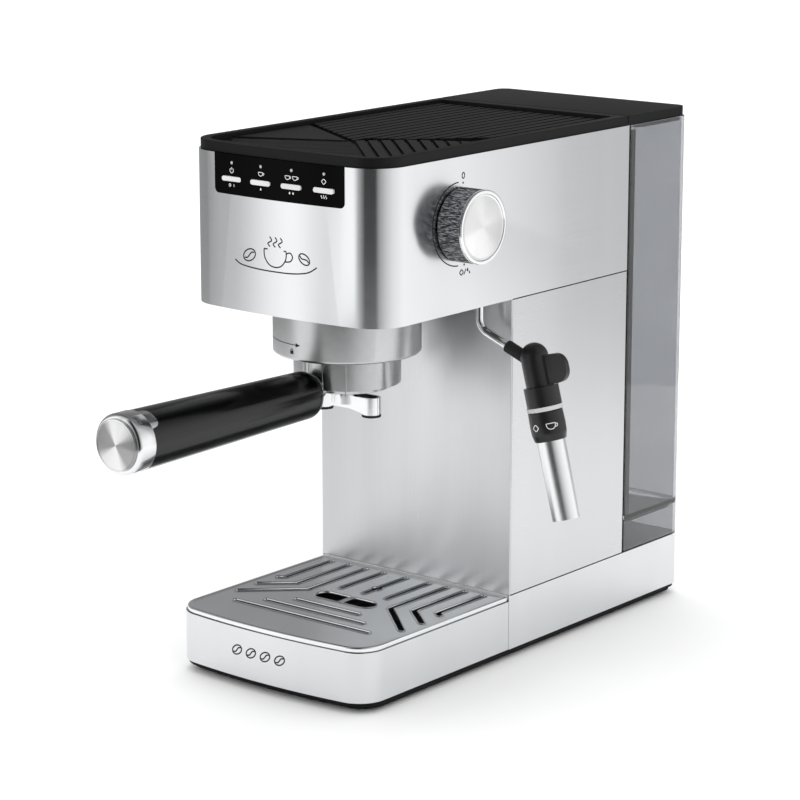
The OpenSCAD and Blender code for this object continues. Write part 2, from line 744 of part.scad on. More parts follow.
suction = [[0, seat[1], 20.8], [0, 117, 13], [-4, 95, 12], [-14, 70, 12], [-20, 50, 15],
    [-20, 45, 24], [-20, 45, 52.8]];
delivery = [[-20, 45, 188.8], [-18, 30, 212], [-10, 0, 250], [8, -40, 282], [20, -70, 286],
    [20, group_y, 279], [20, group_y, 266.3]];

module water_hoses() color("#d8d4c8") {
    hose(suction, 3);
    hose(delivery, 2.5);
}

base_pan();
rubber_feet();
base_shell();
base_deck();
cord_gland();
tray_shell();
tray_bin();
drip_plate();
column_frame();
column_front_panel();
column_side_left();
column_side_right();
rear_wall();
head_shell();
head_floor();
top_cover();
control_panel();
button_power();
button_one_cup();
button_two_cups();
button_steam();
indicator_lights();
control_board();
steam_knob();
knob_ring();
knob_disc();
valve_spindle();
steam_valve();
valve_needle();
boiler_lower();
boiler_upper();
boiler_seal();
boiler_bolts();
thermostats();
group_collar();
group_head();
group_gasket();
shower_screen();
shower_screw();
portafilter_body();
filter_basket();
coffee_spout();
handle_stud();
handle_grip();
handle_ring();
handle_disc();
steam_pipe();
pipe_gland();
pipe_sleeve();
frother_grip();
frother_ring();
frother_selector();
frother_sleeve();
frother_nozzle();
water_tank();
tank_foot();
tank_valve();
tank_lid();
pump();
water_hoses();
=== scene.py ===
"""Looks of the slim espresso machine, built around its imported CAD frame.
Lengths are in mm until a mesh is made."""

import json
import math

import bmesh
import bpy
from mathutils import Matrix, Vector
from mathutils.geometry import delaunay_2d_cdt


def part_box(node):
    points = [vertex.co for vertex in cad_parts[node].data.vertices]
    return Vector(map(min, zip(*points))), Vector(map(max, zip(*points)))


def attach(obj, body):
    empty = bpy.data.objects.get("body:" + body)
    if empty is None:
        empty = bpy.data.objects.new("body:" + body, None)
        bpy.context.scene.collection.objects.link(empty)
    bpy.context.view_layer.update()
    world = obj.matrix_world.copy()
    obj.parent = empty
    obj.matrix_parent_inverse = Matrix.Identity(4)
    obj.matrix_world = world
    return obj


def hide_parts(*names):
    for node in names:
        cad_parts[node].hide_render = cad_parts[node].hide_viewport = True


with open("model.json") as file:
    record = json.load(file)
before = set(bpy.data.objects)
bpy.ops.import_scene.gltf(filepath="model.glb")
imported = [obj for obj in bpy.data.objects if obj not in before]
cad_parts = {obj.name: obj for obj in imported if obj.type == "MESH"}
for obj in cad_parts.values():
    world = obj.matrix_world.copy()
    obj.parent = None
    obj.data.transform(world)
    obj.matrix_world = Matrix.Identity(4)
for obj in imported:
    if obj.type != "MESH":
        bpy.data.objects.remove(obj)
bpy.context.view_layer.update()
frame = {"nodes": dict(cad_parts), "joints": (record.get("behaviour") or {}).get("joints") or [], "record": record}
NODES = frame["nodes"]

MM = 0.001


# ---------- sizes, worked out from the frame ----------

def span(node):
    """Lowest and highest corner of a CAD node, in mm."""
    lo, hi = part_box(node)
    return lo / MM, hi / MM


def middle(node):
    lo, hi = span(node)
    return (lo + hi) / 2


SHELL_LO, SHELL_HI = span("head_shell")
TRAY_LO = span("tray_shell")[0]
BASE_HI = span("base_shell")[1]
LID_HI = span("top_cover")[1]
PLATE_LO, PLATE_HI = span("drip_plate")
TANK_HI = span("water_tank")[1]
KNOB_LO, KNOB_HI = span("steam_knob")
COLLAR_LO, COLLAR_HI = span("group_collar")

SIDE = SHELL_HI.x                  # half width of the housing
BOW = 460.0                        # plan radius of the bowed front faces
GROUP = Vector((0, middle("group_collar").y, 0))
KNOB = Vector((0, middle("steam_knob").y, middle("steam_knob").z))
GRIP = Vector((0, 0, middle("handle_grip").z))
JOINTS = {j["name"]: j for j in frame["joints"]}
ELBOW = Vector(JOINTS["selector_turn"]["pos_m"]) / MM
WAND_DOWN = Vector(JOINTS["selector_turn"]["axis"]).normalized()


# ---------- meshes ----------

def make(name, verts, faces, material, body, slot, node=None, sharp=32, bevel=0.0, segments=3, flip=False):
    """A mesh piece from points in mm: smooth shading, sharp edges by angle, and a bevel if asked."""
    mesh = bpy.data.meshes.new(name)
    mesh.from_pydata([Vector(v) * MM for v in verts], [], faces)
    work = bmesh.new()
    work.from_mesh(mesh)
    bmesh.ops.remove_doubles(work, verts=work.verts, dist=1e-7)
    bmesh.ops.recalc_face_normals(work, faces=work.faces)
    work.to_mesh(mesh)
    work.free()
    obj = bpy.data.objects.new(name, mesh)
    bpy.context.scene.collection.objects.link(obj)
    finish_piece(obj, material, body, slot, node, sharp, bevel, segments)
    return obj


def finish_piece(obj, material, body, slot, node=None, sharp=32, bevel=0.0, segments=3):
    """Gives a piece its material, shading and body, and hides the CAD node that it stands in for. The slot is not
    used.
    """
    obj.data.materials.clear()
    obj.data.materials.append(material)
    if obj.type == "MESH":
        for p in obj.data.polygons:
            p.use_smooth = True
        obj.data.set_sharp_from_angle(angle=math.radians(sharp))
        if bevel:
            add_bevel(obj, bevel, segments, sharp)
    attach(obj, body)
    if node:
        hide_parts(*([node] if isinstance(node, str) else node))
    return obj


def add_bevel(obj, width, segments=3, angle=32):
    """Rounds the edges that are sharper than an angle."""
    mod = obj.modifiers.new("round_edges", "BEVEL")
    mod.width = width * MM
    mod.segments = segments
    mod.limit_method = "ANGLE"
    mod.angle_limit = math.radians(angle)
    mod.harden_normals = True
    mod.miter_outer = "MITER_ARC"


def grid_faces(rows, cols, closed_rows=False, closed_cols=False):
    """Quads over a grid of points stored row by row."""
    faces = []
    for i in range(rows if closed_rows else rows - 1):
        for j in range(cols if closed_cols else cols - 1):
            a, b = i * cols + j, i * cols + (j + 1) % cols
            c, d = ((i + 1) % rows) * cols + (j + 1) % cols, ((i + 1) % rows) * cols + j
            faces.append((a, b, c, d))
    return faces


def lathe(profile, origin, axis, steps=96, start=0.0, turn=360.0):
    """Turns (radius, distance) points about an axis. Radius 0 closes a pole."""
    axis = Vector(axis).normalized()
    side = axis.orthogonal().normalized()
    up = axis.cross(side)
    origin = Vector(origin)
    verts = []
    for r, h in profile:
        for i in range(steps):
            a = math.radians(start + turn * i / steps)
            verts.append(origin + axis * h + (side * math.cos(a) + up * math.sin(a)) * r)
    faces = grid_faces(len(profile), steps, closed_cols=True)
    return verts, faces


def corner(cx, cy, r, a0, a1, steps=5):
    """Round corner of a lathe profile."""
    return [(cx + r * math.cos(math.radians(a0 + (a1 - a0) * i / steps)),
             cy + r * math.sin(math.radians(a0 + (a1 - a0) * i / steps))) for i in range(steps + 1)]


def join(*parts):
    """Several (verts, faces) as one."""
    verts, faces = [], []
    for v, f in parts:
        base = len(verts)
        verts += [Vector(p) for p in v]
        faces += [tuple(base + i for i in face) for face in f]
    return verts, faces


def box(lo, hi):
    x0, y0, z0 = lo
    x1, y1, z1 = hi
    v = [(x, y, z) for z in (z0, z1) for x, y in ((x0, y0), (x1, y0), (x1, y1), (x0, y1))]
    return v, [(0, 3, 2, 1), (4, 5, 6, 7), (0, 1, 5, 4), (1, 2, 6, 5), (2, 3, 7, 6), (3, 0, 4, 7)]


# ---------- cleaned CAD shapes ----------

RECORD = frame["record"]
BODY_OF = {node: body for body, nodes in RECORD["behaviour"]["bodies"].items() for node in nodes}
SLOT_OF = {row["node"]: row["material_slot"] for row in RECORD["subparts"]}


def recast(node, material, bevel=0.3, segments=2, angle=30, rim=None, rim_width=1.0, flat=0.1):
    """A node's own shape as a clean mesh with rounded edges, standing in for the node.
    rim picks, from an edge's two ends, the edges that get the wider rounding."""
    work = bmesh.new()
    work.from_mesh(NODES[node].data)
    bmesh.ops.remove_doubles(work, verts=work.verts, dist=1e-6)
    if flat:
        bmesh.ops.dissolve_limit(work, angle_limit=math.radians(flat), verts=work.verts, edges=work.edges)
    if rim:
        chosen = [e for e in work.edges if e.calc_face_angle(0) > math.radians(angle)
                  and rim(e.verts[0].co / MM, e.verts[1].co / MM)]
        bmesh.ops.bevel(work, geom=chosen, offset=rim_width * MM, segments=5, profile=0.5,
                        affect="EDGES", clamp_overlap=True)
    mesh = bpy.data.meshes.new(node + "_skin")
    work.to_mesh(mesh)
    work.free()
    obj = bpy.data.objects.new(node + "_skin", mesh)
    bpy.context.scene.collection.objects.link(obj)
    finish_piece(obj, material, BODY_OF[node], SLOT_OF[node], node, angle, bevel, segments)
    return obj


# ---------- printed marks ----------

def sag(x):
    """How far the bowed front falls back at x."""
    return BOW - math.sqrt(BOW * BOW - x * x)


def on_bow(front):
    """Places marks on a bowed front face: across, up, out."""
    return lambda x, z, h: Vector((x, front + sag(x) - h, z))


def on_side(y, z, h):
    return Vector((SIDE + h, y, z))


def on_collar(s, z, h):
    a = s / COLLAR_R
    return Vector((GROUP.x + (COLLAR_R + h) * math.sin(a), GROUP.y - (COLLAR_R + h) * math.cos(a), z))


def round_line(points, steps=6, closed=False):
    """A smooth curve through points (Catmull-Rom)."""
    pts = [Vector(p) for p in points]
    n = len(pts)
    out = []
    for i in range(n if closed else n - 1):
        a = pts[i - 1] if i or closed else pts[0]
        b, c = pts[i], pts[(i + 1) % n]
        d = pts[(i + 2) % n] if i + 2 < n or closed else pts[-1]
        for k in range(steps):
            t = k / steps
            out.append(0.5 * (2 * b + (c - a) * t + (2 * a - 5 * b + 4 * c - d) * t * t
                              + (3 * b - a - 3 * c + d) * t ** 3))
    if not closed:
        out.append(pts[-1])
    return out


def oval(cx, cy, rx, ry, a0=0.0, a1=360.0, lean=0.0, steps=28):
    """Points round an ellipse, or along part of one."""
    whole = abs(a1 - a0) >= 360
    c, s = math.cos(math.radians(lean)), math.sin(math.radians(lean))
    out = []
    for i in range(steps if whole else steps + 1):
        a = math.radians(a0 + (a1 - a0) * i / steps)
        x, y = rx * math.cos(a), ry * math.sin(a)
        out.append(Vector((cx + x * c - y * s, cy + x * s + y * c)))
    return out


def stroke(points, width, place, height, closed=False):
    """A raised line of constant width."""
    pts = [Vector(p) for p in points]
    n = len(pts)
    verts = []
    for i, p in enumerate(pts):
        a = pts[i - 1] if i or closed else p
        b = pts[(i + 1) % n] if i < n - 1 or closed else p
        t = (b - a).normalized()
        side = Vector((-t.y, t.x)) * width / 2
        for q, h in ((p + side, -0.02), (p + side, height), (p - side, height), (p - side, -0.02)):
            verts.append(place(q.x, q.y, h))
    faces = grid_faces(n, 4, closed_rows=closed, closed_cols=True)
    if not closed:
        faces += [(3, 2, 1, 0), tuple(4 * (n - 1) + k for k in range(4))]
    return verts, faces


def patch(outline, place, height):
    """A raised filled shape."""
    n = len(outline)
    verts = [place(p[0], p[1], h) for h in (-0.02, height) for p in outline]
    faces = grid_faces(2, n, closed_cols=True)
    faces += [tuple(reversed(range(n))), tuple(n + i for i in range(n))]
    return verts, faces


def ink(name, place, material, body, slot, lines=(), rings=(), fills=(), width=0.4, height=0.05):
    """One printed mark: open lines, closed lines and filled shapes."""
    parts = [stroke(p, width, place, height) for p in lines]
    parts += [stroke(p, width, place, height, closed=True) for p in rings]
    parts += [patch(p, place, height) for p in fills]
    verts, faces = join(*parts)
    return make(name, verts, faces, material, body, slot, sharp=40)


def cup_mark(x, z, size=1.0):
    """A plain cup seen from the side, as closed and open lines."""
    wall = [(1.7, 1.0), (1.5, -0.2), (0.7, -1.0)]
    wall = [(-across, up) for across, up in wall] + wall[::-1]
    bowl = round_line([(x + across * size, z + up * size) for across, up in wall], 4)
    bowl += [(x + side * size, z + size) for side in (1.3, 0.9, 0.45, 0, -0.45, -0.9, -1.3)]
    handle = round_line([(x + 1.6 * size, z + 0.7 * size), (x + 2.5 * size, z + 0.5 * size),
                         (x + 2.3 * size, z - 0.3 * size), (x + 1.4 * size, z - 0.4 * size)], 4)
    return bowl, handle


def puff_mark(x, z, size=1.0):
    """A small puff of steam: four round bulges."""
    out = []
    for k in range(4):
        out += oval(x + 0.62 * size * math.cos(k * math.pi / 2), z + 0.62 * size * math.sin(k * math.pi / 2),
                    0.72 * size, 0.72 * size, 90 * k - 95, 90 * k + 95, steps=8)[1:-1]
    return out


def drop_mark(x, z, size=1.0):
    """A drop of water."""
    return [Vector((x, z + 1.5 * size))] + oval(x, z - 0.2 * size, 0.8 * size, 0.8 * size, 30, -210, steps=14)


def bean_marks(x, z, length, lean):
    """A coffee bean: its outline and its crease."""
    c, s = math.cos(math.radians(lean)), math.sin(math.radians(lean))
    crease = [(-0.86, 0.0), (-0.45, -0.16), (0.0, 0.0), (0.45, 0.16), (0.86, 0.0)]
    half = length / 2
    return (oval(x, z, half, half * 0.66, lean=lean),
            round_line([(x + half * (a * c - b * s), z + half * (a * s + b * c)) for a, b in crease], 5))


# ---------- materials ----------

class Nodes:
    """Short calls for building a material's node tree."""

    def __init__(self, name):
        self.mat = bpy.data.materials.new(name)
        self.mat.use_nodes = True
        self.tree = self.mat.node_tree
        self.shader = self.tree.nodes["Principled BSDF"]
        self.place = self.add("ShaderNodeTexCoord").outputs["Object"]

    def add(self, kind, **values):
        node = self.tree.nodes.new(kind)
        for key, value in values.items():
            if hasattr(node, key):
                setattr(node, key, value)
            else:
                node.inputs[key.replace("_", " ")].default_value = value
        return node

    def link(self, a, b):
        self.tree.links.new(a, b)

    def set(self, **values):
        for key, value in values.items():
            self.shader.inputs[key.replace("_", " ")].default_value = value

    def noise(self, scale=(1, 1, 1), detail=4.0, roughness=0.6, size=1.0):
        """Noise over object coordinates, in cycles per metre along each axis."""
        place = self.add("ShaderNodeMapping")
        place.inputs["Scale"].default_value = scale
        self.link(self.place, place.inputs["Vector"])
        tex = self.add("ShaderNodeTexNoise", Scale=size, Detail=detail, Roughness=roughness)
        self.link(place.outputs[0], tex.inputs["Vector"])
        return tex.outputs["Fac"]

    def spread(self, value, low, high, from_low=0.3, from_high=0.7):
        """Maps a value to a range."""
        node = self.add("ShaderNodeMapRange")
        ends = {"From Min": from_low, "From Max": from_high, "To Min": low, "To Max": high}
        for key, number in ends.items():
            node.inputs[key].default_value = number
        self.link(value, node.inputs["Value"])
        return node.outputs[0]

    def ramp(self, value, stops):
        node = self.add("ShaderNodeValToRGB")
        while len(node.color_ramp.elements) < len(stops):
            node.color_ramp.elements.new(0.5)
        for element, (at, shade) in zip(node.color_ramp.elements, stops):
            element.position = at
            element.color = (*shade, 1)
        self.link(value, node.inputs[0])
        return node.outputs[0]

    def curve(self, value, points):
        """A value from 0 to 1 turned into another by straight lines between points."""
        node = self.add("ShaderNodeFloatCurve")
        line = node.mapping.curves[0]
        node.mapping.use_clip = False
        while len(line.points) < len(points):
            line.points.new(0.5, 0.5)
        for point, at in zip(line.points, points):
            point.location = at
            point.handle_type = "VECTOR"
        node.mapping.update()
        self.link(value, node.inputs["Value"])
        return node.outputs[0]

    def bump(self, value, strength, distance):
        node = self.add("ShaderNodeBump", Strength=strength, Distance=distance)
        self.link(value, node.inputs["Height"])
        self.link(node.outputs[0], self.shader.inputs["Normal"])
        return node


def shade(level, tint=(1, 1, 1)):
    return tuple(level * t for t in tint)


def brushed(name, level, rough, grain, lines=0.03, tint=(0.962, 0.981, 1.0), anisotropic=0.75, turn=0.25,
            bump=0.03, bands=0.03):
    """Brushed steel. grain is the cycles per metre along x, y and z: low along the brushing.
    turn sets the direction in which the reflections are drawn out: 0.25 is up and down on upright faces."""
    n = Nodes(name)
    fine = n.noise(grain, detail=3, roughness=0.7)
    cloud = n.noise((9, 9, 9), detail=2)
    broad = n.noise((22, 22, 1), detail=2)
    mixed = n.add("ShaderNodeMath", operation="MULTIPLY")
    n.link(n.spread(fine, level - lines, level + lines), mixed.inputs[0])
    n.link(n.spread(broad, 1 - bands, 1 + bands), mixed.inputs[1])
    n.link(n.ramp(mixed.outputs[0], [(0, shade(0, tint)), (1, shade(1, tint))]),
           n.shader.inputs["Base Color"])
    rough_mix = n.add("ShaderNodeMath", operation="ADD")
    n.link(n.spread(fine, rough - 0.015, rough + 0.015), rough_mix.inputs[0])
    n.link(n.spread(cloud, -0.02, 0.02), rough_mix.inputs[1])
    n.link(rough_mix.outputs[0], n.shader.inputs["Roughness"])
    n.set(Metallic=1.0, Anisotropic=anisotropic, **{"Anisotropic Rotation": turn})
    n.bump(fine, bump, 0.00005)
    return n.mat


def metal(name, level, rough, tint=(0.98, 0.99, 1.0), wear=0.02):
    """Smooth metal with faint rubbing marks."""
    n = Nodes(name)
    marks = n.noise((260, 260, 260), detail=4)
    n.link(n.ramp(marks, [(0.35, shade(level - wear, tint)), (0.65, shade(level + wear, tint))]),
           n.shader.inputs["Base Color"])
    n.link(n.spread(marks, rough * (1 - 4 * wear), rough * (1 + 5 * wear)), n.shader.inputs["Roughness"])
    n.set(Metallic=1.0)
    n.bump(marks, 0.75 * wear, 0.00005)
    return n.mat


def plastic(name, level, rough, grain=1800.0, depth=0.00004, strength=0.25, tint=(1, 1, 1), gloss=0.5):
    """Moulded plastic: a fine spark-eroded grain and slight tone changes."""
    n = Nodes(name)
    fine = n.noise((grain,) * 3, detail=3)
    cloud = n.noise((30, 30, 30), detail=3)
    n.link(n.ramp(cloud, [(0.3, shade(level * 0.9, tint)), (0.7, shade(level * 1.1, tint))]),
           n.shader.inputs["Base Color"])
    n.link(n.spread(fine, rough * 0.9, rough * 1.1), n.shader.inputs["Roughness"])
    n.set(**{"Specular IOR Level": gloss})
    n.bump(fine, strength, depth)
    return n.mat


def knurled(name):
    """Knurled grey knob: dark valleys of painted shade and bright worn crests that run along its axis."""
    n = Nodes(name)
    knurl_wear_and_shade = n.noise((260, 1500, 1500), detail=2)
    # painted shade: the colour is darkest where the knurl's bump is lowest; the bright crests are wear
    n.link(n.ramp(knurl_wear_and_shade, [(0.44, (0.012, 0.012, 0.014)), (0.62, (0.27, 0.28, 0.30))]),
           n.shader.inputs["Base Color"])
    n.link(n.spread(knurl_wear_and_shade, 0.5, 0.3), n.shader.inputs["Roughness"])
    n.set(**{"Specular IOR Level": 0.4})
    n.bump(knurl_wear_and_shade, 0.6, 0.0002)
    return n.mat


def rubber(name, level=0.02, rough=0.75):
    return plastic(name, level, rough, grain=900, depth=0.0001, strength=0.4)


def smoke(name):
    """Clear tinted plastic of the tank."""
    n = Nodes(name)
    flow = n.noise((6, 6, 18), detail=2)
    n.link(n.ramp(flow, [(0.3, (0.455, 0.465, 0.485)), (0.7, (0.495, 0.505, 0.525))]),
           n.shader.inputs["Base Color"])
    n.link(n.spread(flow, 0.03, 0.06), n.shader.inputs["Roughness"])
    n.set(IOR=1.49, **{"Transmission Weight": 0.97, "Specular IOR Level": 0.5})
    return n.mat


def spun(name, centre, axis, level=0.75, dark=(1, 0, 0), depth=0.0):
    """Turned aluminium disc facing along an axis: fine rings, and a painted reflection that makes the colour
    darkest in two sectors along one direction, by depth.
    """
    n = Nodes(name)
    around = n.add("ShaderNodeTangent", direction_type="RADIAL", axis=axis)
    n.link(around.outputs[0], n.shader.inputs["Tangent"])
    shift = n.add("ShaderNodeVectorMath", operation="SUBTRACT")
    shift.inputs[1].default_value = centre * MM
    n.link(n.place, shift.inputs[0])
    length = n.add("ShaderNodeVectorMath", operation="LENGTH")
    n.link(shift.outputs[0], length.inputs[0])
    rings = n.add("ShaderNodeTexNoise", Scale=5200.0, Detail=2.0, noise_dimensions="1D")
    n.link(length.outputs["Value"], rings.inputs["W"])
    unit = n.add("ShaderNodeVectorMath", operation="NORMALIZE")
    n.link(shift.outputs[0], unit.inputs[0])
    # painted reflection: the base colour is darkened by depth in the two sectors along the dark direction,
    # standing in for the dark arms of the disc's reflection
    across = n.add("ShaderNodeVectorMath", operation="DOT_PRODUCT")
    across.inputs[1].default_value = dark
    n.link(unit.outputs[0], across.inputs[0])
    square = n.add("ShaderNodeMath", operation="MULTIPLY")
    tone = n.add("ShaderNodeMath", operation="MULTIPLY")
    for slot in (0, 1):
        n.link(across.outputs["Value"], square.inputs[slot])
    n.link(n.spread(rings.outputs["Fac"], level - 0.04, level + 0.04), tone.inputs[0])
    n.link(n.spread(square.outputs[0], 1.0, 1.0 - depth), tone.inputs[1])
    n.link(tone.outputs[0], n.shader.inputs["Base Color"])
    n.link(n.spread(rings.outputs["Fac"], 0.30, 0.38), n.shader.inputs["Roughness"])
    n.set(Metallic=1.0, Anisotropic=0.95, **{"Anisotropic Rotation": 0.25})
    n.bump(rings.outputs["Fac"], 0.05, 0.00004)
    return n.mat


STEEL = brushed("brushed_steel", 0.72, 0.20, (14, 14, 1800), lines=0.008, bump=0.01)
# painted shade: the column's steels under the head get a darker base colour than the head's steel (0.66 and 0.64
# against 0.72); their brushing and roughness are their own
SATIN_AND_PAINTED_SHADE = brushed("satin_steel_painted_shade", 0.66, 0.26, (14, 14, 1800), lines=0.004, bump=0.002)
FRONT = brushed("column_steel_painted_shade", 0.64, 0.30, (1500, 14, 14), lines=0.012, anisotropic=0.85, bands=0.05)
PLATE = brushed("plate_steel", 0.84, 0.24, (2600, 40, 40), lines=0.015, anisotropic=0.3, turn=0.0, bump=0.02)
CHROME = metal("chrome", 0.86, 0.05)
POLISHED = metal("polished_steel", 0.78, 0.15, wear=0.004)
SLEEVE = metal("sleeve_steel", 0.80, 0.24, wear=0.004)
COLLAR = metal("satin_aluminium", 0.56, 0.30, wear=0.012)
BOWL = metal("bowl_aluminium", 0.50, 0.24, wear=0.012)
CAST = metal("cast_aluminium", 0.55, 0.5, wear=0.05)
BRASS = metal("brass", 0.62, 0.25, tint=(1.0, 0.78, 0.42))
BARE = metal("bare_steel", 0.6, 0.28)
BLACK = plastic("black_plastic", 0.004, 0.6, gloss=0.12)
DECK = plastic("deck_plastic", 0.6, 0.5)
LID = plastic("lid_plastic", 0.005, 0.46, grain=1500, gloss=0.17)
GLOSS = plastic("gloss_black", 0.002, 0.1, strength=0.03, gloss=0.025)
GRIP_MAT = plastic("grip_black", 0.001, 0.18, strength=0.05, gloss=0.4)
GREY = plastic("grey_plastic", 0.05, 0.5)
WAND = plastic("wand_black", 0.008, 0.3, gloss=0.4)
KNOB_MAT = knurled("knob_grey")
WHITE = plastic("key_white", 0.64, 0.3)
LENS = plastic("light_lens", 0.42, 0.2)
RING_MAT = plastic("ring_grey", 0.5, 0.3)
RUBBER = rubber("black_rubber", 0.008)
SILICONE = rubber("red_silicone", 0.25)
HOSE = plastic("hose_silicone", 0.6, 0.4, tint=(1, 0.97, 0.9))
BOARD = plastic("board_green", 0.08, 0.4, tint=(0.4, 1.0, 0.5))
CERAMIC = plastic("ceramic", 0.6, 0.5, tint=(1, 0.97, 0.9))
SMOKE = smoke("smoky_plastic")
PRINT_WHITE = plastic("white_ink", 0.78, 0.45)
PRINT_DARK = plastic("dark_ink", 0.012, 0.5, gloss=0.2)
SPUN_KNOB = spun("spun_knob", Vector((span("knob_disc")[1].x, KNOB.y, KNOB.z)), "X", 0.9)
# the grip's disc gets painted reflection: dark sectors along (0.96, 0, -0.28)
SPUN_GRIP_PAINTED_REFLECTION = spun("spun_grip_painted_reflection", Vector((0, span("handle_disc")[0].y, GRIP.z)), "Y", 0.8, (0.96, 0, -0.28), 0.55)

INNER_MATERIALS = {
    BOARD: ["control_board"],
    BRASS: ["valve_spindle", "steam_valve"],
    BARE: ["valve_needle", "boiler_bolts", "shower_screen", "shower_screw", "handle_stud"],
    CAST: ["boiler_lower", "boiler_upper"],
    SILICONE: ["boiler_seal"],
    HOSE: ["water_hoses"],
    CERAMIC: ["thermostats"],
    GREY: ["pump", "frother_nozzle"],
}
for material, names in INNER_MATERIALS.items():
    for node_name in names:
        cad = NODES[node_name]
        cad.data.materials.clear()
        cad.data.materials.append(material)
        weld = cad.modifiers.new("weld", "WELD")
        weld.merge_threshold = 1e-6


# ---------- base and drip tray ----------

def near(value, target, room=0.05):
    return abs(value - target) < room


recast("base_pan", BLACK, 0.7, 3)
recast("rubber_feet", RUBBER, 0.5)
recast("base_shell", STEEL, 0.3)
recast("base_deck", DECK, 0.3)
recast("cord_gland", RUBBER, 0.6, 3)
recast("tray_shell", STEEL, 0.3)
recast("tray_bin", GREY, 0.4)


def top_loops(node, z):
    """Outlines of a node's flat top at height z, largest first, as plan points without near doubles."""
    work = bmesh.new()
    work.from_mesh(NODES[node].data)
    bmesh.ops.remove_doubles(work, verts=work.verts, dist=1e-6)
    top = {f for f in work.faces if f.normal.z > 0.99 and near(f.calc_center_median().z / MM, z)}
    ahead = {}
    for face in top:
        for loop in face.loops:
            if sum(other in top for other in loop.edge.link_faces) == 1:
                ahead[loop.vert] = loop.link_loop_next.vert
    loops = []
    while ahead:
        start = vert = next(iter(ahead))
        line = []
        while vert in ahead:
            line.append(Vector(vert.co.xy) / MM)
            vert = ahead.pop(vert)
        clean = [p for i, p in enumerate(line) if (p - line[i - 1]).length > 0.12]
        loops.append(clean)
    work.free()
    return sorted(loops, key=lambda line: -max(p.x for p in line) + min(p.x for p in line))


def shifted(loop, distance):
    """The loop moved towards the metal by a distance. The metal is on the loop's left."""
    out = []
    for i, p in enumerate(loop):
        a, b = (p - loop[i - 1]).normalized(), (loop[(i + 1) % len(loop)] - p).normalized()
        mean = (a + b).normalized()
        out.append(p + Vector((-mean.y, mean.x)) * distance / max(mean.dot(a), 0.5))
    return out


def holds(loop, point):
    """Whether a point lies inside a closed line."""
    inside = False
    for a, b in zip(loop, loop[1:] + loop[:1]):
        if (a.y > point.y) != (b.y > point.y) and point.x < a.x + (point.y - a.y) * (b.x - a.x) / (b.y - a.y):
            inside = not inside
    return inside


def drip_plate():
    """The slotted plate: a flat sheet with a raised rim, a rolled bead round every slot, and its skirts."""
    top = PLATE_HI.z
    outline, *holes = top_loops("drip_plate", top)
    sheet_low = -1.5                        # underside of the sheet, from the top
    skirt, lip = PLATE_LO.z - top, PLATE_LO.z + 3.3 - top
    rim = [(3.4, -0.55), (3.0, -0.45), (2.4, -0.12), (1.7, 0.0), (0.95, -0.06), (0.4, -0.3), (0.1, -0.7),
           (0.0, -1.1), (0.0, lip), (1.5, lip), (1.5, sheet_low), (2.6, sheet_low),
           (2.6, skirt), (4.0, skirt), (4.0, sheet_low)]
    bead = [(1.5, -0.55), (1.3, -0.48), (1.1, -0.22), (0.85, -0.03), (0.6, -0.03), (0.35, -0.2), (0.12, -0.5),
            (0.0, -0.9), (0.0, sheet_low)]
    parts = []
    for loop, section in ((outline, rim), *((hole, bead) for hole in holes)):
        verts = [(p.x, p.y, top + z) for d, z in section for p in shifted(loop, d)]
        parts.append((verts, grid_faces(len(section), len(loop), closed_cols=True)))
    for end in (0, -1):
        rings = [shifted(outline, rim[end][0])] + [shifted(hole, bead[end][0]) for hole in holes]
        points, edges = [], []
        for ring in rings:
            first, count = len(points), len(ring)
            points += ring
            edges += [(first + i, first + (i + 1) % count) for i in range(count)]
        flat = delaunay_2d_cdt(points, edges, [], 1, 1e-4)
        sheet = []
        for face in flat[2]:
            centre = sum((flat[0][i] for i in face), Vector((0, 0))) / 3
            if sum(holds(ring, centre) for ring in rings) == 1:
                sheet.append(tuple(face))
        parts.append(([(p.x, p.y, top + rim[end][1]) for p in flat[0]], sheet))
    verts, faces = join(*parts)
    obj = make("drip_plate_skin", verts, faces, PLATE, BODY_OF["drip_plate"], SLOT_OF["drip_plate"],
               "drip_plate", sharp=48)
    even = obj.modifiers.new("flat_faces", "WEIGHTED_NORMAL")
    even.keep_sharp = True
    even.weight = 100


drip_plate()


# ---------- column and head ----------

recast("column_frame", GREY, 0.3)
recast("column_front_panel", FRONT, 0.35, 3)
recast("column_side_left", SATIN_AND_PAINTED_SHADE, 0.35, 3)
recast("column_side_right", SATIN_AND_PAINTED_SHADE, 0.35, 3)
recast("rear_wall", BLACK, 0.3)
recast("head_shell", STEEL, 0.3, 3)
recast("head_floor", GREY, 0.3)


def shadow_gap_strips():
    """Black strips of painted shade in the joints of the steel sides, where the gaps' shadow falls: under the
    head, and on top of the base.
    """
    column_lo, column_hi = span("column_side_right")
    parts = []
    for s in (-1, 1):
        face = SIDE + 0.02 if s > 0 else SIDE - 0.05
        for z, y0, y1 in ((SHELL_LO.z, column_lo.y, column_hi.y), (BASE_HI.z, column_lo.y, TANK_HI.y - 9)):
            xs = sorted((s * (SIDE - 1.0), s * face))
            parts.append(box((xs[0], y0 + 0.1, z - 0.4), (xs[1], y1, z + 0.25)))
    # painted shade: black strips set in the joints where the gaps' shadow falls
    make("shadow_gap_strips", *join(*parts), BLACK, "machine", "base_plastic", sharp=30)


shadow_gap_strips()


def lid_rim(a, b):
    """Outer top edge of a lid."""
    return near(a.z, LID_HI.z) and near(b.z, LID_HI.z)


recast("top_cover", LID, 0.25, 2, rim=lid_rim, rim_width=0.8)
recast("tank_lid", LID, 0.25, 2, rim=lid_rim, rim_width=0.8)


def end_caps(rows, n):
    """The two end faces of a stack of rings with n points each."""
    return [tuple(reversed(range(n))), tuple((rows - 1) * n + i for i in range(n))]


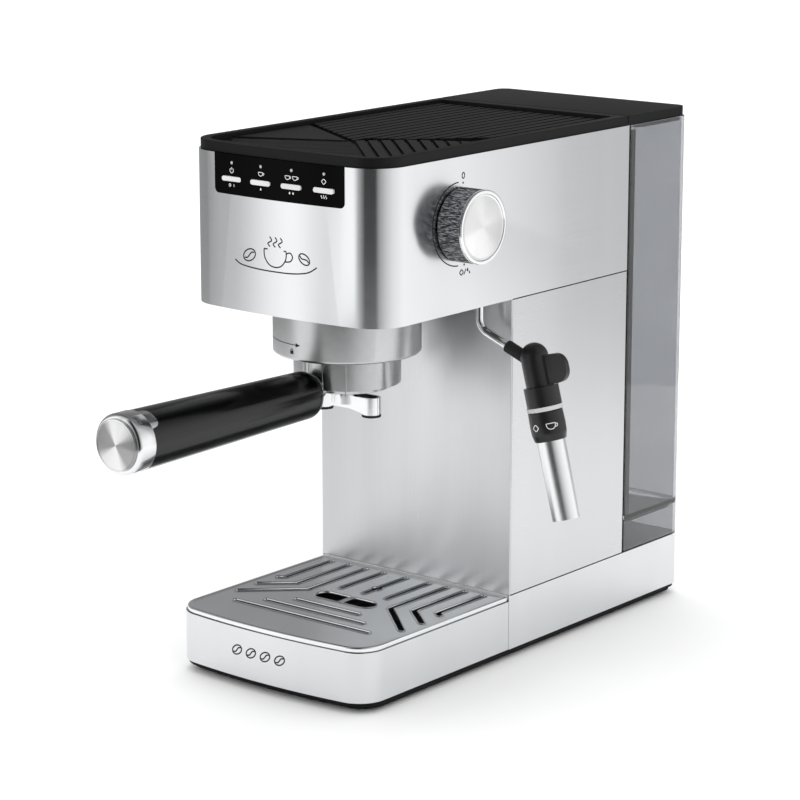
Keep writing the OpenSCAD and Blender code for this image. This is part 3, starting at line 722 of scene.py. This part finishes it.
def clipped(shape, corners):
    """A convex shape cut to lie inside another convex shape whose corners run anticlockwise."""
    for a, b in zip(corners, corners[1:] + corners[:1]):
        a, b = Vector(a), Vector(b)
        inward = Vector((a.y - b.y, b.x - a.x)).normalized()
        out = []
        for p, q in zip(shape, shape[1:] + shape[:1]):
            dp, dq = (p - a).dot(inward), (q - a).dot(inward)
            if dp >= 0:
                out.append(p)
            if dp * dq < 0:
                out.append(p.lerp(q, dp / (dp - dq)))
        shape = out
        if len(shape) < 3:
            return []
    return shape


def bars(corners, along, pitch, width, z, height):
    """Parallel bars with chamfered tops that fill a convex plan area."""
    along = Vector(along).normalized()
    across = Vector((-along.y, along.x))
    parts = []
    for k in range(-60, 61):
        mid = across * (pitch * k)
        line = [mid - along * 400 - across * width / 2, mid + along * 400 - across * width / 2,
                mid + along * 400 + across * width / 2, mid - along * 400 + across * width / 2]
        foot = clipped(line, corners)
        if len(foot) < 3 or sum(a.cross(b) for a, b in zip(foot, foot[1:] + foot[:1])) < 6:
            continue
        centre = sum(foot, Vector((0, 0))) / len(foot)
        top = [p + (centre - p).normalized() * min(0.35, (centre - p).length / 2) for p in foot]
        n = len(foot)
        rings = ((foot, -0.05), (foot, height - 0.3), (top, height))
        verts = [(*p, z + up) for ring, up in rings for p in ring]
        parts.append((verts, grid_faces(3, n, closed_cols=True) + end_caps(3, n)))
    return parts


def cup_ribs():
    """Ribs of the cup warmer: slanted in front on both sides, and lengthwise behind a shallow V."""
    z = LID_HI.z - 3.2                      # floor of the recess
    x, front, back = 61.5, -128.5, 82.0
    apex = (1.0, -79.0)
    left = [(-x, front + 19), (-x + 12, front + 6), (x - 14, front + 3), apex]
    right = [(apex[0] + 2, apex[1] + 1), (x - 12, front + 4), (x, front + 16), (x, -37), (24, -57)]
    parts = bars(left, (1, 1), 5.2, 4.3, z, 0.7)
    parts += bars(right, (1, -1), 7.2, 5.2, z, 1.5)
    parts += bars([(-x, -38), (apex[0], -77), (apex[0], back), (-x, back)], (0, 1), 7.4, 5.6, z, 1.5)
    parts += bars([(apex[0], -77), (22, -55), (x, -33), (x, back), (apex[0], back)], (0, 1), 7.4, 5.6, z, 1.5)
    make("cup_ribs", *join(*parts), LID, "machine", "lid_plastic", sharp=25)
    plain = [Vector(p) for p in ((-x, front + 24), (apex[0] - 3, apex[1]), (-x, -42))]
    n = len(plain)
    verts = [(*p, z + h) for h in (-0.05, 1.2) for p in plain]
    faces = grid_faces(2, n, closed_cols=True) + end_caps(2, n)
    make("cup_field", verts, faces, LID, "machine", "lid_plastic", sharp=25, bevel=0.4)


cup_ribs()


# ---------- control panel ----------

recast("control_panel", GLOSS, 0.25)
BUTTONS = ("button_power", "button_one_cup", "button_two_cups", "button_steam")
for key in BUTTONS:
    recast(key, WHITE, 0.55, 3)
recast("indicator_lights", LENS, 0.3)

ON_HEAD = on_bow(SHELL_LO.y)
KEYS = [middle(name).x for name in BUTTONS]
MARK_Z = (span("button_power")[1].z + span("indicator_lights")[0].z) / 2 + 0.1


def panel_marks():
    """Plain marks over the keys: power, one cup, two cups and steam, with small signs below them."""
    power, one, two, steam = KEYS
    low = span("button_power")[0].z - 2.1
    bowl, handle = cup_mark(one, MARK_Z, 0.95)
    left, left_handle = cup_mark(two - 2.7, MARK_Z, 0.95)
    right, right_handle = cup_mark(two + 2.5, MARK_Z, 0.95)
    open_lines = [oval(power, MARK_Z - 0.1, 1.35, 1.35, 125, 415),
                  [(power, MARK_Z + 0.2), (power, MARK_Z + 1.7)], handle, left_handle, right_handle,
                  [(power + 1.7, low - 0.7), (power + 1.7, low + 0.7)]]
    for dx in (-1.5, 0, 1.5):
        open_lines.append(round_line([(steam + dx, low - 0.9), (steam + dx + 0.4, low - 0.3),
                                      (steam + dx - 0.4, low + 0.3), (steam + dx, low + 0.9)], 4))
    ink("panel_marks", ON_HEAD, PRINT_WHITE, "machine", "key_white", lines=open_lines,
        rings=[bowl, left, right, puff_mark(steam, MARK_Z, 1.0), oval(power - 1.5, low, 0.7, 0.7)],
        fills=[drop_mark(one, low, 0.6), drop_mark(two - 1.2, low, 0.6), drop_mark(two + 1.2, low, 0.6)],
        width=0.34)


def front_ornament():
    """Plain line drawing of a steaming cup on a long saucer line, with two coffee beans."""
    cup = round_line([(-9, 250), (-8.6, 245.5), (-5.5, 241.6), (-1, 240.4), (3.5, 241.6), (6.6, 245.5),
                      (7, 250)], 6)
    handle = round_line([(6.8, 248.6), (9.8, 249.4), (11.4, 247.2), (9.8, 244.8), (6.2, 244.2)], 6)
    saucer = round_line([(-31, 241.5), (-26, 239.2), (-14, 238.1), (-1, 237.9), (12, 238.3), (22, 240),
                         (28, 243.4)], 8)
    steam = [round_line([(x, 251.5), (x - 1.5, 253.2), (x + 1.2, 255), (x - 0.2, 257)], 6)
             for x in (-4.6, -0.8, 3)]
    left, left_crease = bean_marks(-20, 245.2, 9.5, 25)
    right, right_crease = bean_marks(19.5, 247, 8, -30)
    ink("front_ornament", ON_HEAD, PRINT_DARK, "machine", "panel_gloss",
        lines=[handle, saucer, left_crease, right_crease, *steam], rings=[cup, left, right], width=0.75)


def tray_ornament():
    """A row of coffee beans on the tray's front."""
    outlines, creases = [], []
    for k in range(4):
        outline, crease = bean_marks(-19.5 + 10.6 * k, 22.4, 7.6, 28)
        outlines.append(outline)
        creases.append(crease)
    ink("tray_ornament", on_bow(TRAY_LO.y), PRINT_DARK, "drip_tray", "panel_gloss",
        lines=creases, rings=outlines, width=0.8)


panel_marks()
front_ornament()
tray_ornament()


# ---------- steam knob ----------

KNOB_R = (KNOB_HI.z - KNOB_LO.z) / 2
KNOB_BACK, KNOB_FRONT = SIDE + 0.8, KNOB_HI.x


def knob():
    """Knob body with a wavy knurl, its pointer bar, polished rim and spun face."""
    around, across = 336, 26
    verts = []
    inner = [(3.0, KNOB_FRONT - 7), (3.0, SIDE + 0.02), (KNOB_R - 3.2, SIDE + 0.02),
             (KNOB_R - 3.2, KNOB_BACK), (KNOB_R - 0.5, KNOB_BACK)]
    side_run = [(KNOB_R - 0.02, KNOB_BACK + 0.45 + (KNOB_FRONT - KNOB_BACK - 0.6) * i / across)
                for i in range(across + 1)]
    outer = [(KNOB_R - 0.4, KNOB_FRONT), (3.0, KNOB_FRONT)]
    profile = inner + side_run + outer
    for r, x in profile:
        for i in range(around):
            a = 2 * math.pi * i / around
            edge = min(x - KNOB_BACK, KNOB_FRONT - x)
            cut = 0.0
            if r > KNOB_R - 0.1 and edge > 0.3:
                wave = 0.6 * math.sin(x * 2.1 + 3 * math.sin(9 * a)) + 0.4 * math.sin(x * 4.7 + 40 * a)
                cut = 0.34 * (0.5 + 0.5 * math.sin(84 * a + 1.4 * wave))
                if abs(math.sin(a / 2)) < 0.03:
                    cut = 0.9
            verts.append((x, KNOB.y + (r - cut) * math.sin(a), KNOB.z + (r - cut) * math.cos(a)))
    faces = grid_faces(len(profile), around, closed_rows=True, closed_cols=True)
    make("knob_body", verts, faces, KNOB_MAT, "knob", "knob_grey", "steam_knob", sharp=50)
    half = 0.75                             # half width of the pointer bar
    bar = box((KNOB_BACK + 0.6, KNOB.y - half, KNOB.z + KNOB_R - 1.4),
              (KNOB_FRONT - 0.2, KNOB.y + half, KNOB.z + KNOB_R))
    make("knob_pointer", *bar, GLOSS, "knob", "knob_grey", sharp=30, bevel=0.15)
    ring_lo, ring_hi = span("knob_ring")
    r = (ring_hi.z - ring_lo.z) / 2
    bore = r - 2.2
    rim = [(bore, ring_lo.x), (r - 0.25, ring_lo.x), *corner(r - 0.25, ring_lo.x + 0.25, 0.25, -90, 0, 3),
           *corner(r - 0.75, ring_hi.x - 0.75, 0.75, 0, 90, 6),
           *corner(bore + 0.5, ring_hi.x - 0.5, 0.5, 90, 180, 5)]
    v, f = lathe(rim, (0, KNOB.y, KNOB.z), (1, 0, 0), steps=144)
    f = grid_faces(len(rim), 144, closed_rows=True, closed_cols=True)
    make("knob_rim", v, f, CHROME, "knob", "bright_chrome", "knob_ring", sharp=40)
    disc_lo, disc_hi = span("knob_disc")
    face = disc_hi.x
    disc = [(0, disc_lo.x), (bore - 0.12, disc_lo.x), (bore - 0.12, face - 0.3), (bore - 0.4, face - 0.05),
            (bore - 1.1, face - 0.05), (bore - 1.3, face - 0.2), (bore - 1.6, face - 0.05), (0, face)]
    v, f = lathe(disc, (0, KNOB.y, KNOB.z), (1, 0, 0), steps=144)
    make("knob_face", v, f, SPUN_KNOB, "knob", "spun_aluminium", "knob_disc", sharp=40)


def knob_scale():
    """Dial round the knob: an arc with an end dot above and below, a nought, and steam and water signs."""
    r, y, z = 23.1, KNOB.y, KNOB.z
    top, low = (y + 3.7, z + 22.4), (y + 5.0, z - 23.1)
    ink("knob_scale", on_side, PRINT_DARK, "machine", "panel_gloss",
        lines=[oval(y, z, r, r, 91, 269, steps=48),
               [(low[0] - 0.3, low[1] - 5.6), (low[0] + 1.7, low[1] - 2.6)]],
        rings=[oval(top[0] + 0.2, top[1] + 4.0, 1.1, 1.6), puff_mark(low[0] - 2.4, low[1] - 4.1, 1.1)],
        fills=[oval(*top, 0.6, 0.6, steps=16), oval(*low, 0.6, 0.6, steps=16),
               drop_mark(low[0] + 3.2, low[1] - 3.4, 0.9), drop_mark(low[0] + 4.9, low[1] - 4.9, 0.7)],
        width=0.68)


knob()
knob_scale()


# ---------- group and portafilter ----------

COLLAR_R = (COLLAR_HI.x - COLLAR_LO.x) / 2
recast("group_collar", COLLAR, 0.25)
recast("group_head", CAST, 0.2)
recast("group_gasket", RUBBER, 0.4)
recast("portafilter_body", BOWL, 0.5, 3)
recast("filter_basket", BARE, 0.15)
recast("coffee_spout", POLISHED, 0.6, 3)


def collar_marks():
    """An arrow that shows which way the portafilter locks, and a small closed padlock."""
    z = COLLAR_LO.z + 9.2
    s0, s1 = (COLLAR_R * math.radians(a) for a in (-44, -3))
    shackle = oval(s1 - 3.0, z - 3.4, 0.8, 1.0, 0, 180, steps=10)
    ink("collar_marks", on_collar, PRINT_DARK, "machine", "panel_gloss",
        lines=[[(s0 + (s1 - s0) * i / 12, z) for i in range(13)], shackle],
        fills=[[Vector((s1 + 3.4, z)), Vector((s1, z + 1.2)), Vector((s1, z - 1.2))],
               [Vector((s1 - 4.3, z - 3.4)), Vector((s1 - 4.3, z - 5.4)), Vector((s1 - 1.7, z - 5.4)),
                Vector((s1 - 1.7, z - 3.4))]], width=0.45)


def seam(azimuth):
    """The casting seam that runs down the bowl."""
    lo, hi = span("portafilter_body")
    r = 30.5
    a = math.radians(azimuth)
    out, along = Vector((math.sin(a), -math.cos(a), 0)), Vector((math.cos(a), math.sin(a), 0))
    rings = []
    for z in (lo.z + 3.6, hi.z - 6.0):
        for s, d in ((-0.45, -0.15), (-0.2, 0.14), (0.2, 0.14), (0.45, -0.15)):
            rings.append(Vector((GROUP.x, GROUP.y, z)) + out * (r + d) + along * s)
    return rings, grid_faces(2, 4, closed_cols=True) + [(3, 2, 1, 0), (4, 5, 6, 7)]


def spout_tips():
    """Black rings pressed on the ends of the two spouts."""
    lo = span("coffee_spout")[0]
    parts = []
    for x in (-17.5, 17.5):
        ring = [(4.02, 0.0), *corner(5.2, 0.3, 0.3, -90, 0, 3), (5.5, 1.5), (5.35, 1.7), (4.02, 1.7)]
        v, _ = lathe(ring, (x, GROUP.y, lo.z), (0, 0, 1), steps=48)
        parts.append((v, grid_faces(len(ring), 48, closed_rows=True, closed_cols=True)))
    v, f = join(*parts)
    make("spout_tips", v, f, RUBBER, "portafilter", "grip_black", sharp=40)


def handle():
    """Gloss grip, polished end ring with a tongue on the grip, and a spun end disc."""
    recast("handle_grip", GRIP_MAT, 0.5, 3)
    ring_lo, ring_hi = span("handle_ring")
    grip_lo, _ = span("handle_grip")
    r = (ring_hi.z - ring_lo.z) / 2
    start, end = ring_lo.y, grip_lo.y - 0.05
    disc_lo, disc_hi = span("handle_disc")
    bore = (disc_hi.z - disc_lo.z) / 2 + 0.2
    section = [(bore, disc_hi.y), (bore, start + 0.5), *corner(bore + 0.5, start + 0.5, 0.5, 180, 270, 4),
               *corner(r - 2.6, start + 2.6, 2.6, -90, 0, 8), *corner(r - 0.4, end - 0.4, 0.4, 0, 90, 3),
               (9.9, end), (9.9, ring_hi.y), (6.0, ring_hi.y), (6.0, disc_hi.y)]
    v, _ = lathe(section, (0, 0, GRIP.z), (0, 1, 0), steps=128)
    ring = (v, grid_faces(len(section), 128, closed_rows=True, closed_cols=True))
    rows, cols = 24, 6
    outer, inner = [], []
    for i in range(rows + 1):
        turn = -1 + 2 * i / rows
        reach = 0.3 + 5.6 * math.sqrt(max(0.0, 1 - abs(turn) ** 4))
        a = math.radians(56 + 24 * turn)
        for j in range(cols + 1):
            y = end - 0.4 + (reach + 0.4) * j / cols
            for store, radius in ((outer, r - 0.05), (inner, r - 0.7)):
                store.append(Vector((math.cos(a) * radius, y, GRIP.z + math.sin(a) * radius)))
    count = len(outer)
    quads = grid_faces(rows + 1, cols + 1)
    tongue_faces = quads + [tuple(count + k for k in reversed(q)) for q in quads]
    loop = ([j for j in range(cols + 1)] + [(i + 1) * (cols + 1) + cols for i in range(rows)]
            + [rows * (cols + 1) + j for j in reversed(range(cols))]
            + [i * (cols + 1) for i in reversed(range(1, rows))])
    tongue_faces += [(a, b, count + b, count + a) for a, b in zip(loop, loop[1:] + loop[:1])]
    verts, faces = join(ring, (outer + inner, tongue_faces))
    make("handle_end", verts, faces, POLISHED, "portafilter", "bright_chrome", "handle_ring", sharp=40)
    face = disc_lo.y
    edge = (disc_hi.z - disc_lo.z) / 2
    disc = [(0, -disc_hi.y), (edge, -disc_hi.y), (edge, -face - 0.3), (edge - 0.3, -face),
            (edge - 0.9, -face), (edge - 1.1, -face - 0.15), (edge - 1.4, -face), (0, -face)]
    v, f = lathe(disc, (0, 0, GRIP.z), (0, -1, 0), steps=128)
    make("handle_face", v, f, SPUN_GRIP_PAINTED_REFLECTION, "portafilter", "spun_aluminium", "handle_disc", sharp=40)


collar_marks()
make("bowl_seam", *seam(38), BOWL, "portafilter", "collar_aluminium", sharp=60)
spout_tips()
handle()


# ---------- steam wand ----------

WAND_OUT = Vector((-WAND_DOWN.z, 0, WAND_DOWN.x))          # away from the machine, square to the wand


def on_wand(azimuth, r, down):
    """A point round the wand: azimuth 0 faces the front, 90 away from the machine."""
    a = math.radians(azimuth)
    return ELBOW + WAND_DOWN * down + (WAND_OUT * math.sin(a) + Vector((0, -1, 0)) * math.cos(a)) * r


def selector_marks():
    """Cup and steam signs on the selector. The profile pairs a distance down the wand with a radius."""
    profile = [(26.3, 9.8), (34.0, 10.1), (39.0, 9.9), (43.0, 8.9)]
    line = 34.5                             # distance down the wand of the signs' middle

    def radius(down):
        for (d0, r0), (d1, r1) in zip(profile, profile[1:]):
            if down <= d1:
                return r0 + (r1 - r0) * (down - d0) / (d1 - d0)
        return profile[-1][1]

    def place(azimuth):
        return lambda s, up, h: on_wand(azimuth + math.degrees(s / 10), radius(line - up) + h, line - up)

    bowl, handle_line = cup_mark(0, 0, 1.55)
    ink("selector_cup", place(47), PRINT_WHITE, "selector", "wand_black", lines=[handle_line], rings=[bowl],
        width=0.34, height=0.08)
    ink("selector_steam", place(-6), PRINT_WHITE, "selector", "wand_black", rings=[puff_mark(0, 0, 1.3)],
        width=0.4, height=0.12)


recast("steam_pipe", CHROME, 0.2)
recast("pipe_gland", BARE, 0.4)
recast("pipe_sleeve", RUBBER, 0.5, 3)
recast("frother_grip", WAND, 0.7, 3, angle=35)
recast("frother_ring", RING_MAT, 0.3)
recast("frother_selector", WAND, 0.4, 3, angle=35)
recast("frother_sleeve", SLEEVE, 0.2)
selector_marks()


# ---------- water tank ----------

recast("water_tank", SMOKE, 0.6, 3)
recast("tank_foot", BLACK, 0.4)
recast("tank_valve", BLACK, 0.4)


def tank_rails():
    """Dark strips inside the tank's two front corners, from its floor to just under its rim."""
    wall, floor_up, depth, thick = 2.2, 2.6, 4.3, 0.66
    tank_lo, tank_hi = span("water_tank")
    z0, z1 = span("tank_foot")[1].z + floor_up, tank_hi.z - 3.2
    y0 = tank_lo.y + wall + 0.05
    parts = []
    for s in (-1, 1):
        outer = s * (tank_hi.x - wall - 0.02)
        xs = sorted((outer, outer - s * thick))
        parts.append(box((xs[0], y0, z0), (xs[1], y0 + depth, z1)))
    make("tank_rails", *join(*parts), BLACK, "tank", "base_plastic", sharp=30, bevel=0.1)


tank_rails()


# ---------- camera, floor and light ----------

def aim(obj, target):
    """Points a camera or a lamp at a place."""
    obj.rotation_mode = "QUATERNION"
    obj.rotation_quaternion = (Vector(target) - obj.location).to_track_quat("-Z", "Y")


camera = bpy.data.objects.new("camera", bpy.data.cameras.new("camera"))
bpy.context.scene.collection.objects.link(camera)
camera.data.lens = 129.39
camera.data.sensor_width = 36.0
camera.location = (1.01666, -1.30037, 0.52528)
aim(camera, camera.location + Vector((-0.60984, 0.75934, -0.22693)))
camera.data.clip_end = 50
bpy.context.scene.camera = camera


def floor():
    """A pale, plain floor."""
    n = Nodes("floor")
    tone = n.noise((3, 3, 3))
    n.link(n.ramp(tone, [(0.3, shade(0.90)), (0.7, shade(0.92))]), n.shader.inputs["Base Color"])
    n.set(Roughness=0.9, **{"Specular IOR Level": 0.1})
    mesh = bpy.data.meshes.new("floor")
    half = 8                                # metres
    mesh.from_pydata([(-half, -half, 0), (half, -half, 0), (half, half, 0), (-half, half, 0)], [],
                     [(0, 1, 2, 3)])
    obj = bpy.data.objects.new("floor", mesh)
    obj.data.materials.append(n.mat)
    bpy.context.scene.collection.objects.link(obj)


WALL = [(-180, 0.50), (-140, 0.35), (-100, 0.35), (-75, 0.36), (-56, 0.34), (-52, 0.38), (-50, 0.46),
        (-46.5, 0.57), (-42.5, 0.68), (-38.5, 0.98), (-35, 1.28), (-30, 1.42), (-27, 1.2), (-24, 0.82),
        (-20.5, 1.38), (-15, 1.42), (-12, 1.2), (-6, 0.62), (4, 0.3), (13, 0.02), (39, 0.02), (48, 0.4),
        (67, 0.78), (86, 1.04), (115, 1.22), (131, 1.28), (134, 1.14), (137, 1.0), (139, 0.84), (141, 0.72),
        (145, 0.74), (165, 0.45), (180, 0.50)]


def cyclorama():
    """A round wall of soft light and shade that only reflections see, brightest where WALL says.
    WALL pairs an azimuth (0 is the front, 90 the right-hand side) with a brightness."""
    radius, top, steps = 0.75, 1.5, 120
    verts = []
    for z in (0.0, top):
        for i in range(steps):
            a = 2 * math.pi * i / steps
            verts.append((radius * math.sin(a), -radius * math.cos(a), z))
    faces = grid_faces(2, steps, closed_cols=True) + [tuple(steps + i for i in range(steps))]
    mesh = bpy.data.meshes.new("cyclorama")
    mesh.from_pydata(verts, [], faces)
    n = Nodes("cyclorama")
    turn = n.add("ShaderNodeMapping")
    turn.inputs["Rotation"].default_value = (0, 0, math.radians(90))
    n.link(n.place, turn.inputs["Vector"])
    angle = n.add("ShaderNodeTexGradient", gradient_type="RADIAL")
    n.link(turn.outputs[0], angle.inputs["Vector"])
    stops = [((azimuth + 180) / 360, level) for azimuth, level in WALL]
    level = n.curve(angle.outputs["Fac"], stops)
    height = n.add("ShaderNodeSeparateXYZ")
    n.link(n.place, height.inputs[0])
    fall = n.curve(n.spread(height.outputs["Z"], 0, 1, 0, top),
                   [(0, 1.0), (0.2, 0.95), (0.45, 0.6), (1, 0.45)])
    both = n.add("ShaderNodeMath", operation="MULTIPLY")
    n.link(level, both.inputs[0])
    n.link(fall, both.inputs[1])
    glow = n.add("ShaderNodeEmission")
    n.link(both.outputs[0], glow.inputs["Strength"])
    n.link(glow.outputs[0], n.tree.nodes["Material Output"].inputs["Surface"])
    obj = bpy.data.objects.new("cyclorama", mesh)
    obj.data.materials.append(n.mat)
    bpy.context.scene.collection.objects.link(obj)
    obj.visible_camera = False
    obj.visible_diffuse = False
    obj.visible_transmission = False
    obj.visible_volume_scatter = False
    obj.visible_shadow = False


def studio():
    """Even white light from all round, a weak soft sun for the shadow, and the wall for reflections."""
    world = bpy.data.worlds.new("studio")
    bpy.context.scene.world = world
    world.use_nodes = True
    world.node_tree.nodes["Background"].inputs[0].default_value = (1, 1, 1, 1)
    world.node_tree.nodes["Background"].inputs[1].default_value = 1.28
    world.cycles_visibility.glossy = False
    light = bpy.data.objects.new("sky", bpy.data.lights.new("sky", "SUN"))
    light.data.energy = 0.5
    light.data.angle = math.radians(50)
    light.location = (-0.8, 0.9, 2.4)
    aim(light, (0, 0, 0))
    light.visible_glossy = False
    bpy.context.scene.collection.objects.link(light)
    cyclorama()


floor()
studio()
bpy.context.scene.view_settings.view_transform = "Standard"
